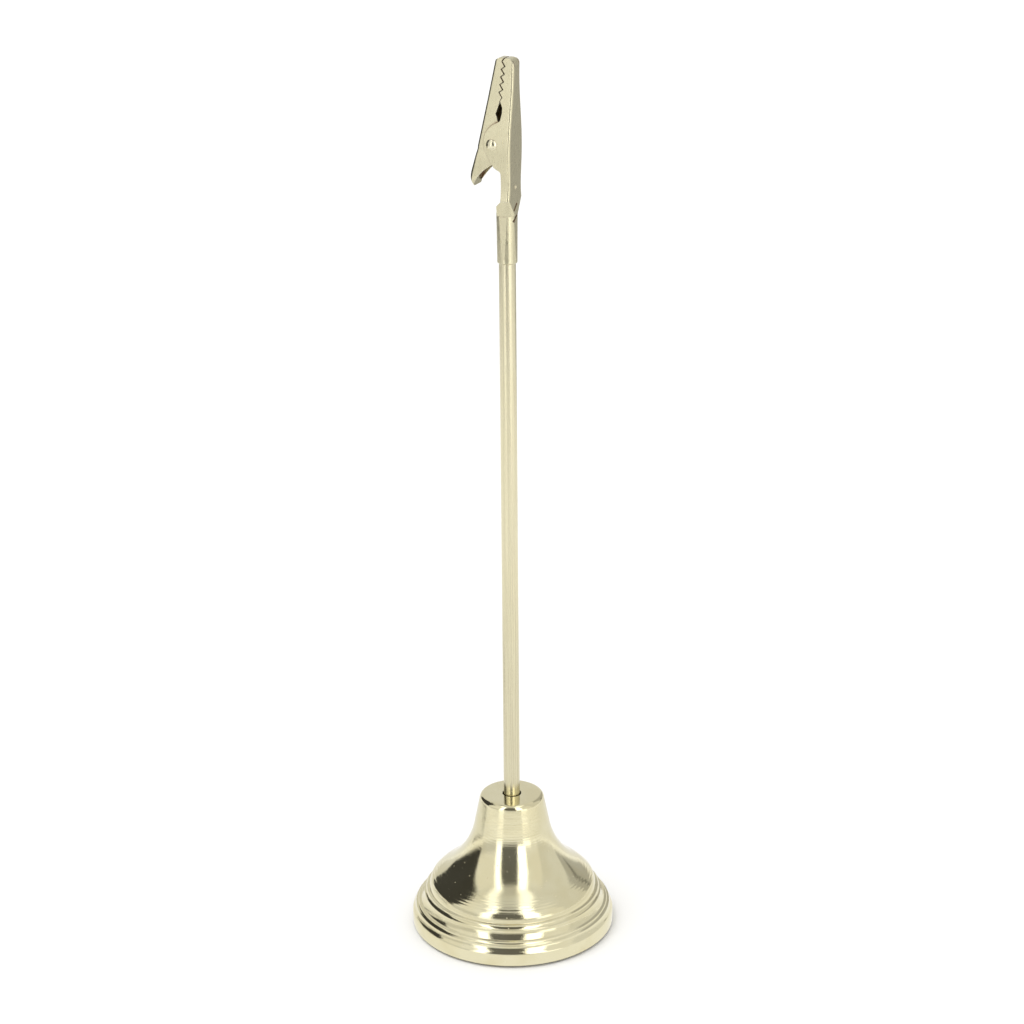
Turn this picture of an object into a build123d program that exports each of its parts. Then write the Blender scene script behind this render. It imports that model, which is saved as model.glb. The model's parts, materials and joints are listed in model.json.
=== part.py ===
from build123d import *
import os

# Table number holder: a sprung alligator clip on a rod that stands in a weighted bell foot.
# Millimetres.  Origin: centre of the underside, on the surface it stands on.  +Z is up the rod.
# The clip's back faces +X, its jaws open in the XZ plane, and its rivet lies along Y.

# ---- overall sizes ----
TOTAL_H = 220.7          # table to the clip's nose
FOOT_R = 25.4            # widest radius of the bell foot
FOOT_H = 35.5            # height of the foot's flat top
STEM_D = 4.0             # rod diameter
SHELL_T = 0.8            # sheet thickness of the bell foot
SHEET_T = 0.4            # sheet thickness of the clip

# ---- bell foot ----
RIM_LIFT = 0.6           # the shell's rim hangs this far above the table, the pad takes the load
STEM_HOLE_D = 4.6        # hole in the foot's top
TOP_FLAT_R = 6.75        # flat top, before its rounded edge
NECK_TOP = (8.05, 34.45) # radius and height of the neck's upper end
NECK_LOW = (9.5, 27.3)   # where the neck starts to flare
WAIST = (17.0, 15.2)     # where the flare turns into the straight shoulder
SHOULDER_RUN = 1.7       # length of the straight shoulder
SKIRT = (20.4, 12.2)     # lower edge of the smooth body
COVE = (21.1, 10.0)      # cove under the body, ending at the first ring
RINGS = [                # upper edge and lower edge of each turned ring
    ((21.65, 9.8), (22.15, 8.9)),
    ((22.35, 8.8), (23.2, 6.6)),
    ((23.8, 6.4), (24.1, 5.8)),
    ((24.5, 5.6), (25.2, 4.1)),
]
RIM_TOP_Z = 3.6
RING_SAG = 0.12          # how far each ring's edge bulges

# ---- ballast, pad and fasteners in the foot ----
PAD_R = 24.2
PAD_T = 1.6
BALLAST_TOP = 9.5
BALLAST_GAP = 0.05
BALLAST_BORE_D = 4.3
RECESS_D = 11.0
RECESS_TOP = 7.5
STEM_LOW = 2.2
STEM_TOP = 182.5
THREAD_TOP = 17.0
THREAD_PITCH = 0.7
THREAD_DEPTH = 0.35
NUT_AF = 7.0
NUT_H = 3.2
NUT_BORE_D = 4.06
WASHER_D = 9.0
WASHER_T = 0.8
SPRING_WASHER_D = 7.0
SPRING_WASHER_T = 1.0

# ---- clip: shared ----
PIVOT = (-2.15, 201.0)    # rivet centre, x and z
RIVET_D = 1.7
RIVET_HEAD_D = 2.6
RIVET_HEAD_T = 0.55
RIVET_GRIP = 3.65         # centre plane to the underside of each head
MOUTH_TOP = (0.35, 220.0)
MOUTH_LOW = (-0.5, 211.2)
TOOTH_COUNT = 5
TOOTH_DEPTH = 0.85
TOOTH_RAMP = 0.64        # share of the pitch taken by a tooth's gentle flank
MOUTH_GAP = 0.3
BEND_R = 0.6             # outer bend radius of the folded sheet
NOSE_HALF = 1.85         # half-width of both noses
NOSE_R = 0.85            # rounding of the noses' corners
NOSE_TURN = 2.0          # height over which the fixed jaw's back curls into the nose
CORNER_SLIT = 0.18       # gap where the folded nose meets the walls

# ---- clip: fixed jaw ----
BARREL = (172.7, 184.6)  # crimp barrel, lower and upper end
BARREL_BORE_D = 4.04
BARREL_WALL = 0.35       # the sheet is squeezed thinner round the rod
BARREL_FLARE = 0.1       # how much the barrel's radius grows towards its upper end
BARREL_FLAT = 2.25       # sides and back pressed flat at the upper end, fading out downwards
WING_SPREAD = 0.12       # the wings stand this much wider than the barrel
CHANNEL_LOW = 187.9      # lower end of the square channel
BACK_TOP = (2.8, 219.3)  # outer face of the back, near the nose
BACK_LOW = (2.2, 187.9)
NECK_X = 0.05            # free edge of the neck's walls
FIXED_WINDOW = [         # gap behind the teeth, x and z, from the last tooth down to the ear
    (-0.4, 211.0), (0.22, 209.6), (0.22, 208.4), (-0.15, 206.6), (-0.8, 206.15),
]
EAR_SIDE = (-4.15, 201.6)  # point on the ear's rounded side
EAR_LOW = (-3.3, 198.6)
EAR_NOTCH = (-1.65, 195.7)
EAR_WEB = (-0.75, 195.15)
NECK_HIGH_Z = 194.1
SLIT_HEIGHTS = (186.2, 183.6)    # two cuts that free the strap over the barrel
SLIT_SIZE = (2.5, 2.4, 0.6)
SLIT_Y = -0.25
SLIT_TILT = 38
DIMPLE = (-0.15, 190.8)  # pressed dimple in the back, y and z
DIMPLE_R = 0.65
DIMPLE_RISE = 0.35       # dimple's centre above the back's outer face
FIXED_HALF = [           # height and half-width of the channel, from the nose down
    (219.6, 1.85), (211.5, 2.35), (205.6, 3.2), (199.0, 3.65), (188.0, 3.75),
]

# ---- clip: moving jaw ----
MOVING_STATIONS = [      # straight part: height, half-width, outer face of the back, from the nose down
    (222.0, 1.8, -1.5), (211.5, 2.15, -3.72), (200.3, 2.8, -6.1),
]
LEVER_STATIONS = [       # thumb lever: the same, curling round its end
    (200.3, 2.8, -6.1), (198.2, 2.88, -6.62), (196.2, 2.94, -7.2), (194.4, 2.95, -7.72),
    (192.9, 2.88, -7.98), (191.7, 2.5, -7.92), (190.6, 1.7, -7.7),
]
LEVER_END = 190.7
LEVER_SCOOP = (-5.0, 194.3)      # point on the walls' free edge under the lever
LEVER_TIP = (-7.35, 191.3)       # where that edge meets the lever's rounded tongue
MOVING_WINDOW = [(-0.56, 211.0), (-1.6, 207.9), (-0.95, 206.2)]
MOVING_EAR = [(-0.3, 204.6), (0.1, 202.5), (-0.1, 198.9), (-0.9, 197.0), (-2.3, 196.2)]

# ---- torsion spring ----
WIRE_D = 0.5
COIL_D = 3.0             # to the wire's centre
COIL_TURNS = 5
COIL_PITCH = 0.62


def face_xz(points):
    """Flat outline in the XZ plane from x, z points."""
    return Plane.XZ * make_face(Polyline(*points, close=True))


def across(face, half_width=6.0):
    """Extrude an XZ face both ways along Y."""
    return extrude(face, amount=half_width, both=True)


def disc(radius, low, high):
    """Cylinder on the Z axis between two heights."""
    return Pos(0, 0, low) * Cylinder(radius, high - low, align=(Align.CENTER, Align.CENTER, Align.MIN))


def rod_y(radius, centre, half_length):
    """Cylinder along Y, centred on the XZ plane."""
    x, z = centre
    return Pos(x, 0, z) * Rot(90, 0, 0) * Cylinder(radius, 2 * half_length)


# ---------------------------------------------------------------- bell foot

def bell_edges():
    """Outer side of the bell, from the flat top down to the rim, as r, z edges."""
    edges = [
        Line((0, FOOT_H), (TOP_FLAT_R, FOOT_H)),
        TangentArc((TOP_FLAT_R, FOOT_H), NECK_TOP, tangent=(1, 0)),
        Line(NECK_TOP, NECK_LOW),
    ]
    neck_run = Vector(*NECK_LOW) - Vector(*NECK_TOP)
    flare = TangentArc(NECK_LOW, WAIST, tangent=neck_run)
    shoulder = Vector(*WAIST) + (flare % 1) * SHOULDER_RUN
    edges += [flare, Line(WAIST, shoulder), TangentArc(shoulder, SKIRT, tangent=flare % 1)]
    edges += [SagittaArc(SKIRT, COVE, RING_SAG)]
    last = COVE
    for top, low in RINGS:
        edges += [Line(last, top), SagittaArc(top, low, -RING_SAG)]
        last = low
    rim_low = (FOOT_R, RIM_LIFT + RING_SAG)
    edges += [Line(last, (FOOT_R, RIM_TOP_Z)), Line((FOOT_R, RIM_TOP_Z), rim_low)]
    edges += [Line(rim_low, (FOOT_R - RING_SAG, RIM_LIFT))]
    return edges


def bell_solid():
    """The bell's outer form as a filled solid of revolution."""
    edges = bell_edges()
    edges += [Line((FOOT_R - RING_SAG, RIM_LIFT), (0, RIM_LIFT)), Line((0, RIM_LIFT), (0, FOOT_H))]
    return revolve(Plane.XZ * make_face(edges), Axis.Z)


def cavity_solid(gap=0.0):
    """The hollow inside the shell, one sheet thickness in, shrunk sideways by gap."""
    wall = SHELL_T + gap
    roof = FOOT_H - SHELL_T
    neck_top = (NECK_TOP[0] - wall, roof)
    neck_low = (NECK_LOW[0] - wall, NECK_LOW[1] - wall / 4)
    waist = (WAIST[0] - 0.75 * wall, WAIST[1] - 0.75 * wall)
    skirt = (SKIRT[0] - wall, SKIRT[1] - wall / 2)
    edges = [
        Line((0, roof), neck_top),
        Line(neck_top, neck_low),
        TangentArc(neck_low, waist, tangent=Vector(*neck_low) - Vector(*neck_top)),
        SagittaArc(waist, skirt, 0.5 * RING_SAG),
        Line(skirt, (COVE[0] - wall, COVE[1] - wall)),
    ]
    last = (COVE[0] - wall, COVE[1] - wall)
    for top, low in RINGS[1:]:
        step = (top[0] - wall, top[1] - wall)
        edges.append(Line(last, step))
        last = (low[0] - wall, low[1] - wall)
        edges.append(Line(step, last))
    edges += [Line(last, (FOOT_R - wall, 0)), Line((FOOT_R - wall, 0), (0, 0)), Line((0, 0), (0, roof))]
    return revolve(Plane.XZ * make_face(edges), Axis.Z)


def base_shell():
    """Spun sheet bell with a hole for the rod in its flat top."""
    return bell_solid() - cavity_solid() - disc(STEM_HOLE_D / 2, FOOT_H - 3, FOOT_H + 3)


def base_weight():
    """Iron slug that fills the lower part of the bell, bored and recessed for the rod's fastening."""
    slug = cavity_solid(BALLAST_GAP) & disc(FOOT_R, PAD_T, BALLAST_TOP)
    return slug - disc(BALLAST_BORE_D / 2, 0, FOOT_H) - disc(RECESS_D / 2, 0, RECESS_TOP)


def foot_pad():
    """Foam disc under the foot."""
    return chamfer(disc(PAD_R, 0, PAD_T).edges(), 0.15)


# ---------------------------------------------------------------- rod and its fasteners

def stem():
    """Rod with a cut thread on its lower end, drawn as parallel grooves, and a bevelled top."""
    radius = STEM_D / 2
    bevel = 0.3
    points = [(0, STEM_LOW), (radius - THREAD_DEPTH, STEM_LOW)]
    turns = int((THREAD_TOP - STEM_LOW) / THREAD_PITCH)
    for turn in range(turns):
        z = STEM_LOW + turn * THREAD_PITCH
        points += [(radius, z + 0.4 * THREAD_PITCH), (radius, z + 0.6 * THREAD_PITCH)]
        points += [(radius - THREAD_DEPTH, z + THREAD_PITCH)]
    points += [(radius, STEM_LOW + (turns + 0.5) * THREAD_PITCH)]
    points += [(radius, STEM_TOP - bevel), (radius - bevel, STEM_TOP), (0, STEM_TOP)]
    return revolve(face_xz(points), Axis.Z)


def hex_nut(low):
    """Plain hexagon nut with its corners turned off, standing on the height low."""
    corner_r = NUT_AF / 2 / 0.866
    blank = extrude(Pos(0, 0, low) * RegularPolygon(corner_r, 6), NUT_H)
    turned = chamfer(disc(corner_r, low, low + NUT_H).edges(), 0.35)
    bore = chamfer(disc(NUT_BORE_D / 2 + 0.3, low - 0.3, low + NUT_H + 0.3).edges(), 0.2)
    return (blank & turned) - (bore & disc(NUT_BORE_D / 2, low - 1, low + NUT_H + 1))


def washer(outer_d, bore_d, high, thickness):
    """Flat ring whose upper face is at the height high."""
    return disc(outer_d / 2, high - thickness, high) - disc(bore_d / 2, high - 2 * thickness, high + 1)


def spring_washer(high):
    """Split lock washer, pressed flat, with its slanted cut on the -Y side."""
    ring = washer(SPRING_WASHER_D, STEM_D + 0.3, high, SPRING_WASHER_T)
    cut = Pos(0, -SPRING_WASHER_D / 2, high) * Rot(0, 25, 0) * Box(0.5, 5, 6)
    return ring - cut


# ---------------------------------------------------------------- clip

def section(z, half, back, bend, mouth_x):
    """Level C-shaped face: two walls at y = +/-half from mouth_x to a back with bent corners."""
    side = 1 if back > mouth_x else -1
    knee = back - side * bend
    mid = bend * (1 - 0.5**0.5)
    edges = [
        Line((mouth_x, -half), (knee, -half)),
        ThreePointArc((knee, -half), (back - side * mid, -half + mid), (back, -half + bend)),
        Line((back, -half + bend), (back, half - bend)),
        ThreePointArc((back, half - bend), (back - side * mid, half - mid), (knee, half)),
        Line((knee, half), (mouth_x, half)),
        Line((mouth_x, half), (mouth_x, -half)),
    ]
    return Plane((0, 0, z)) * make_face(edges)


def channel(stations, mouth_x, ruled=False):
    """Sheet channel through stations of height, half-width, back and bend radius."""
    outer = [section(z, half, back, bend, mouth_x) for z, half, back, bend in stations]
    side = 1 if stations[0][2] > mouth_x else -1
    inner = [
        section(z, half - SHEET_T, back - side * SHEET_T, max(bend - SHEET_T, 0.1), mouth_x - side * 3)
        for z, half, back, bend in stations
    ]
    return loft(outer, ruled=ruled), loft(inner, ruled=ruled)


def nose_form(low):
    """Tall form that rounds the upper corners of a jaw's nose seen along X."""
    half = NOSE_HALF
    knee = TOTAL_H - NOSE_R
    right = [(half, knee), (half + 1, knee - 4), (6, knee - 4), (6, low)]
    left = [(-y, z) for y, z in right]
    edges = [Line(a, b) for a, b in zip(right, right[1:])]
    edges += [Line(a, b) for a, b in zip(left, left[1:])]
    edges += [
        RadiusArc(left[0], (-half + NOSE_R, TOTAL_H), NOSE_R),
        Line((-half + NOSE_R, TOTAL_H), (half - NOSE_R, TOTAL_H)),
        RadiusArc((half - NOSE_R, TOTAL_H), right[0], NOSE_R),
        Line(left[-1], right[-1]),
    ]
    return extrude(Plane.YZ * make_face(edges), amount=12, both=True)


def corner_slits(x):
    """Thin cuts that part a nose's folded end from the two walls, beside the back at x."""
    slit = Box(1.0, CORNER_SLIT, 3.6)
    place = Pos(x, 0, TOTAL_H)
    return place * Pos(0, NOSE_HALF - 0.55, 0) * slit + place * Pos(0, 0.55 - NOSE_HALF, 0) * slit


def teeth(offset):
    """Saw-tooth line of the mouth from top to bottom, moved sideways by offset."""
    dx = (MOUTH_LOW[0] - MOUTH_TOP[0]) / TOOTH_COUNT
    dz = (MOUTH_LOW[1] - MOUTH_TOP[1]) / TOOTH_COUNT
    points = []
    for tooth in range(TOOTH_COUNT):
        x = MOUTH_TOP[0] + tooth * dx
        z = MOUTH_TOP[1] + tooth * dz
        points.append((x - TOOTH_DEPTH / 2 + offset, z))
        points.append((x + TOOTH_DEPTH / 2 + offset + TOOTH_RAMP * dx, z + TOOTH_RAMP * dz))
    return points


def back_x(z):
    """Outer face of the fixed jaw's back at a height."""
    slope = (BACK_TOP[0] - BACK_LOW[0]) / (BACK_TOP[1] - BACK_LOW[1])
    return BACK_LOW[0] + slope * (z - BACK_LOW[1])


def fixed_side():
    """Side outline of the fixed jaw's channel: nose, teeth, window, ear round the rivet, neck."""
    mouth = [(MOUTH_TOP[0] + MOUTH_GAP / 2, TOTAL_H)] + teeth(MOUTH_GAP / 2) + FIXED_WINDOW
    edges = [Line(a, b) for a, b in zip(mouth, mouth[1:])]
    neck = (NECK_X, NECK_HIGH_Z)
    edges += [ThreePointArc(FIXED_WINDOW[-1], EAR_SIDE, EAR_LOW)]
    edges += [Line(EAR_LOW, EAR_NOTCH), Line(EAR_NOTCH, EAR_WEB), SagittaArc(EAR_WEB, neck, 0.25)]
    edges += [Line(neck, (NECK_X, CHANNEL_LOW))]
    top = (BACK_TOP[0] + 0.05, TOTAL_H - NOSE_TURN)
    corner = (BACK_TOP[0] - NOSE_TURN + 0.35, TOTAL_H)
    edges += [Line((NECK_X, CHANNEL_LOW), (4, CHANNEL_LOW)), Line((4, CHANNEL_LOW), (4, top[1]))]
    edges += [Line((4, top[1]), top), SagittaArc(top, corner, -0.5), Line(corner, mouth[0])]
    return Plane.XZ * make_face(edges)


def fixed_channel():
    """Folded channel of the fixed jaw, with closed nose, ears and neck."""
    heights = [TOTAL_H + 0.5] + [z for z, half in FIXED_HALF]
    halves = [FIXED_HALF[0][1]] + [half for z, half in FIXED_HALF]
    stations = [(z, half, back_x(z), BEND_R) for z, half in zip(heights, halves)]
    outer, inner = channel(stations, -6)
    block = outer & across(fixed_side()) & nose_form(CHANNEL_LOW)
    roof = face_xz([
        (-12, TOTAL_H - SHEET_T), (BACK_TOP[0] - NOSE_TURN, TOTAL_H - SHEET_T),
        (BACK_TOP[0] - 0.9, TOTAL_H - 0.5 * NOSE_TURN - 0.2), (BACK_TOP[0] - 0.5, TOTAL_H - NOSE_TURN - 0.3),
        (4, CHANNEL_LOW - 1), (-12, CHANNEL_LOW - 1),
    ])
    return block - (inner & across(roof))


def crimp_wings():
    """Sheet that narrows from the square channel to the round barrel, with a wing each side."""
    low = BARREL[1] - 0.4
    high = CHANNEL_LOW + 0.2
    barrel_r = BARREL_BORE_D / 2 + BARREL_WALL
    stations = [
        (high, FIXED_HALF[-1][1], BACK_LOW[0], BEND_R),
        (low, barrel_r + WING_SPREAD, barrel_r, barrel_r - 0.2),
    ]
    outer, inner = channel(stations, -1.6)
    side = face_xz([
        (NECK_X, high), (NECK_X, CHANNEL_LOW), (-1.2, 186.7), (-1.45, low), (4, low), (4, high),
    ])
    return (outer - inner) & across(side)


def crimp_barrel():
    """Split tube squeezed round the rod: round below, flattened above, with its seam towards -X."""
    low, high = BARREL
    outer_r = BARREL_BORE_D / 2 + BARREL_WALL
    rise = (Align.CENTER, Align.CENTER, Align.MIN)
    cone = Pos(0, 0, low) * Cone(outer_r, outer_r + BARREL_FLARE, high - low, align=rise)
    cone = chamfer(cone.edges().sort_by(Axis.Z)[0], 0.2)
    ends = [(low, outer_r + 0.02), (high, BARREL_FLAT)]
    squeeze = loft([Plane((-2, 0, z)) * Rectangle(2 * flat + 4, 2 * flat) for z, flat in ends])
    seam = Pos(-outer_r, 0, (low + high) / 2) * Box(2.4, 0.25, 2 * (high - low))
    return (cone & squeeze) - disc(BARREL_BORE_D / 2, low - 1, high + 1) - seam


def fixed_jaw():
    """Fixed jaw in one piece of sheet: channel, lanced strap in the back and crimp barrel."""
    body = fixed_channel() + crimp_wings() + crimp_barrel()
    for slit_z in SLIT_HEIGHTS:
        body -= Pos(BARREL_BORE_D / 2 + BARREL_WALL, SLIT_Y, slit_z) * Rot(SLIT_TILT, 0, 0) * Box(*SLIT_SIZE)
    dimple_y, dimple_z = DIMPLE
    dimple = Pos(back_x(dimple_z) + DIMPLE_RISE, dimple_y, dimple_z) * Sphere(DIMPLE_R)
    return body - rod_y(RIVET_D / 2, PIVOT, 8) - dimple - corner_slits(BACK_TOP[0])


def moving_side():
    """Side outline of the moving jaw: nose, teeth, hidden ear, trimmed thumb lever."""
    mouth = [(MOUTH_TOP[0] - MOUTH_GAP / 2, TOTAL_H)] + teeth(-MOUTH_GAP / 2)
    free_edge = mouth + MOVING_WINDOW + MOVING_EAR
    edges = [Line(a, b) for a, b in zip(free_edge, free_edge[1:])]
    top = (-1.95, TOTAL_H - 1.3)
    corner = (-0.9, TOTAL_H)
    far = [LEVER_TIP, (LEVER_TIP[0], LEVER_END), (-12, LEVER_END), (-12, TOTAL_H - 1.3), top]
    edges += [ThreePointArc(MOVING_EAR[-1], LEVER_SCOOP, LEVER_TIP)]
    edges += [Line(a, b) for a, b in zip(far, far[1:])]
    edges += [SagittaArc(top, corner, 0.3), Line(corner, mouth[0])]
    return Plane.XZ * make_face(edges)


def moving_jaw():
    """Moving jaw and thumb lever, one folded channel that sits inside the fixed jaw's ears."""
    straight = channel([(z, half, back, BEND_R) for z, half, back in MOVING_STATIONS], 4, ruled=True)
    lever = channel([(z, half, back, BEND_R) for z, half, back in LEVER_STATIONS], 4)
    block = (straight[0] + lever[0]) & across(moving_side()) & nose_form(LEVER_END)
    inner = straight[1] + lever[1]
    roof = face_xz([
        (12, TOTAL_H - SHEET_T), (-0.6, TOTAL_H - SHEET_T), (-1.4, TOTAL_H - 1.7), (-12, LEVER_END - 3),
        (12, LEVER_END - 3),
    ])
    jaw = block - (inner & across(roof))
    return jaw - rod_y(RIVET_D / 2 + 0.05, PIVOT, 8) - corner_slits(-1.9)


def pivot_rivet():
    """Domed rivet through both jaws."""
    rivet = rod_y(RIVET_D / 2, PIVOT, RIVET_GRIP)
    dome_r = (RIVET_HEAD_D**2 / 4 + RIVET_HEAD_T**2) / (2 * RIVET_HEAD_T)
    x, z = PIVOT
    for side in (-1, 1):
        dome = Pos(x, side * (RIVET_GRIP + RIVET_HEAD_T - dome_r), z) * Sphere(dome_r)
        keep = Pos(x, side * (RIVET_GRIP + RIVET_HEAD_T / 2), z) * Box(6, RIVET_HEAD_T, 6)
        rivet += dome & keep
    return rivet


def torsion_spring():
    """Coil round the rivet with one leg on the lever and one on the neck's back."""
    x, z = PIVOT
    radius = COIL_D / 2
    half = COIL_TURNS * COIL_PITCH / 2
    wire = WIRE_D / 2
    helix = Helix(pitch=COIL_PITCH, height=2 * half, radius=radius)
    place = Pos(x, half, z) * Rot(90, 0, 0)
    start = Plane(origin=helix @ 0, z_dir=helix % 0)
    coil = place * sweep(start * Circle(wire), path=helix, is_frenet=True)
    legs = [((x + radius, half, z), (1.35, half, 192.0)), ((x + radius, -half, z), (-5.8, -half, 194.8))]
    for inner, outer in legs:
        run = Vector(*outer) - Vector(*inner)
        coil += Pos(*inner) * Sphere(wire * 1.01)
        coil += extrude(Plane(origin=inner, z_dir=run) * Circle(wire), run.length)
    return coil


NODES = {
    "base_shell": base_shell(),
    "base_weight": base_weight(),
    "foot_pad": foot_pad(),
    "stem": stem(),
    "upper_nut": hex_nut(BALLAST_TOP),
    "flat_washer": washer(WASHER_D, STEM_D + 0.3, RECESS_TOP, WASHER_T),
    "spring_washer": spring_washer(RECESS_TOP - WASHER_T),
    "lower_nut": hex_nut(RECESS_TOP - WASHER_T - SPRING_WASHER_T - NUT_H),
    "fixed_jaw": fixed_jaw(),
    "moving_jaw": moving_jaw(),
    "pivot_rivet": pivot_rivet(),
    "torsion_spring": torsion_spring(),
}

os.makedirs("parts", exist_ok=True)
for name, solid in NODES.items():
    export_step(solid, f"parts/{name}.step")
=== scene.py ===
import json
import math

import bpy
from mathutils import Matrix, Vector


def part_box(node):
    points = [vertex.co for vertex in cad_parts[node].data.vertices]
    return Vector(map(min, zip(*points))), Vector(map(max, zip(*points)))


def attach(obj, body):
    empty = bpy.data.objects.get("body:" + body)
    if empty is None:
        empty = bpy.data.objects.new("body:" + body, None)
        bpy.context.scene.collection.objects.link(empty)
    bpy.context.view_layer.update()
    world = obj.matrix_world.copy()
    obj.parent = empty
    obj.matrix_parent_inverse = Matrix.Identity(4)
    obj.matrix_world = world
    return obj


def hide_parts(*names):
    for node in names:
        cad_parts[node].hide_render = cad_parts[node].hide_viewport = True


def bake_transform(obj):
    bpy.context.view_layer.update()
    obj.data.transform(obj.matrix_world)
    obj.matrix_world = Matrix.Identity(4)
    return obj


# Table number holder: a polished bell foot, a satin rod and a sprung clip.
# Sizes and places are in millimetres and are scaled to metres when a mesh is made.
# A turned piece's profile is a list of radius, height points. X runs towards the back of the fixed jaw.

MM = 0.001

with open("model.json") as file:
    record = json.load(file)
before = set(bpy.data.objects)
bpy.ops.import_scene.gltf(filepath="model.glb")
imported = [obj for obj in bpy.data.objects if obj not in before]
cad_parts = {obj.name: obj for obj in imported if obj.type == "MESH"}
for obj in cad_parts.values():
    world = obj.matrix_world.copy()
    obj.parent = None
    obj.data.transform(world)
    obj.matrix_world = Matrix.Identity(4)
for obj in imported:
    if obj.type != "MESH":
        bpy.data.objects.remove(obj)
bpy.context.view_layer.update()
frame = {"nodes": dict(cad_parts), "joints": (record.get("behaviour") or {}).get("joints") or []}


# ------------------------------------------------------------------ sizes that the CAD gives

def rounded_mm(point):
    """A place in metres as millimetres, rounded to a thousandth."""
    return [round(value / MM, 3) for value in point]


SHELL_LOW, SHELL_HIGH = [rounded_mm(corner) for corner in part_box("base_shell")]
STEM_LOW, STEM_HIGH = [rounded_mm(corner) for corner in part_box("stem")]
PAD_LOW, PAD_HIGH = [rounded_mm(corner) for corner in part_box("foot_pad")]
RIVET_LOW, RIVET_HIGH = [rounded_mm(corner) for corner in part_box("pivot_rivet")]

FOOT_R = SHELL_HIGH[0]
FOOT_H = SHELL_HIGH[2]
RIM_LIFT = SHELL_LOW[2]
ROD_R = STEM_HIGH[0]
ROD_LOW = STEM_LOW[2]
ROD_TOP = STEM_HIGH[2]
PAD_R = PAD_HIGH[0]
PAD_T = PAD_HIGH[2] - PAD_LOW[2]
RIVET_HEAD_R = (RIVET_HIGH[2] - RIVET_LOW[2]) / 2

JAW_HINGE = next(joint for joint in frame["joints"] if joint["name"] == "jaw_hinge")
PIVOT_X, PIVOT_Y, PIVOT_Z = rounded_mm(JAW_HINGE["pos_m"])


# ------------------------------------------------------------------ sizes inside those

# ---- bell foot, outer side from the hole in its flat top down to the rim ----
HOLE_R = 2.3
HOLE_BEVEL = 0.12
TOP_MIDDLE_R = 3.75         # a point midway across the flat top
TOP_FLAT_R = 6.75
NECK_TOP = (8.05, 34.45)
NECK_LOW = (9.5, 27.3)
WAIST = (17.0, 15.2)
SHOULDER_RUN = 1.7
SKIRT = (20.4, 12.2)
COVE = (21.1, 10.0)
RINGS = [                   # upper edge and lower edge of each turned ring
    ((21.65, 9.8), (22.15, 8.9)),
    ((22.35, 8.8), (23.2, 6.6)),
    ((23.8, 6.4), (24.1, 5.8)),
    ((24.5, 5.6), (25.2, 4.1)),
]
RIM_TOP_Z = 3.6
RING_SAG = 0.12             # how far each ring's edge bulges
SHELL_T = 0.8

# ---- turning grooves left by the tool ----
GROOVE_BANDS = [            # lower and upper height, pitch, depth
    (25.0, 28.2, 0.62, 0.010),
    (12.2, 14.6, 0.8, 0.036),
]
GROOVE_STEP = 0.06          # distance between the profile's points in a band
GROOVE_UNEVEN = 0.35        # share of the depth that comes and goes
GROOVE_BEAT = 2.3           # how fast it comes and goes, in radians per millimetre

# ---- rod ----
ROD_END = [(0.45, 0.0), (0.2, 0.08), (0.0, 0.35)]   # rounded end: in from the side, down from the top
THREAD_TOP = 17.0
THREAD_PITCH = 0.7
THREAD_DEPTH = 0.35
THREAD_CREST = (0.6, 0.4)   # upper and lower edge of a crest, as shares of the pitch

# ---- pad ----
PAD_EDGE = 0.25
PAD_EDGE_SAG = 0.07

# ---- rivet ----
RIVET_R = 0.85
RIVET_GRIP = 3.65           # middle to the underside of each head
RIVET_HEAD_T = 0.55
RIVET_LIP = 0.02
DOME_STEPS = 12

# ---- torsion spring ----
WIRE_R = 0.25
COIL_R = 1.5                # to the wire's centre
COIL_TURNS = 5
COIL_PITCH = 0.62
COIL_STEPS = 24             # points in each turn
FIXED_LEG_END = (1.35, 192.0)
FIXED_LEG_STOP = 0.2        # the leg's last point is this far below the coil's first
LEVER_LEG_END = (-5.8, 194.8)
LEG_STEPS = 12

# ---- painted shade on the clip's edges at the mouth and the strap's cuts: each pair is where the painted shade ends and where it is full ----
MOUTH_X = 0.35              # the line between the teeth: a point on it, and its lean
MOUTH_Z = 220.0
MOUTH_SLOPE = 0.0966
MOUTH_REACH = (0.8, 0.55)   # sideways from that line
MOUTH_LOW = (210.6, 211.2)  # height of the last tooth
STRAP_Y = -0.25             # middle of the strap over the barrel
STRAP_Z = 184.9
STRAP_WIDTH = (1.5, 1.2)    # sideways from its middle
STRAP_HEIGHT = (3.0, 2.7)   # up and down from its middle
STRAP_FACE = (1.5, 1.8)     # X, to leave out the front of the barrel

# ---- moving jaw, where a dark reflection is painted on its outer folds: outer face of its back, above and below the kink ----
FOLD_KINK_X = -6.1
FOLD_KINK_Z = 200.3
FOLD_SLOPE = 0.2125
FOLD_LEVER_SLOPE = 0.254
FOLD_HALF = 2.95            # half-width of the back on the lever
FOLD_TAPER_Z = 196.0        # above this height it gets narrower
FOLD_TAPER = -0.0442
FOLD_ON_WALL = (0.62, 0.42)     # stretch of painted dark reflection on the walls, from the back's face: end, full
FOLD_ON_BACK = (-0.58, -0.45)   # stretch of painted dark reflection on the back, from the walls' face: end, full

# ---- meshes ----
SHARP_ANGLE = math.radians(32)
AXIS_R = 1e-6               # points of a profile closer than this lie on the axis
BELL_SEGMENTS = 256
PAD_SEGMENTS = 192
ROD_SEGMENTS = 96
RIVET_SEGMENTS = 64
WIRE_SIDES = 12


# ------------------------------------------------------------------ profiles

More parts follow.
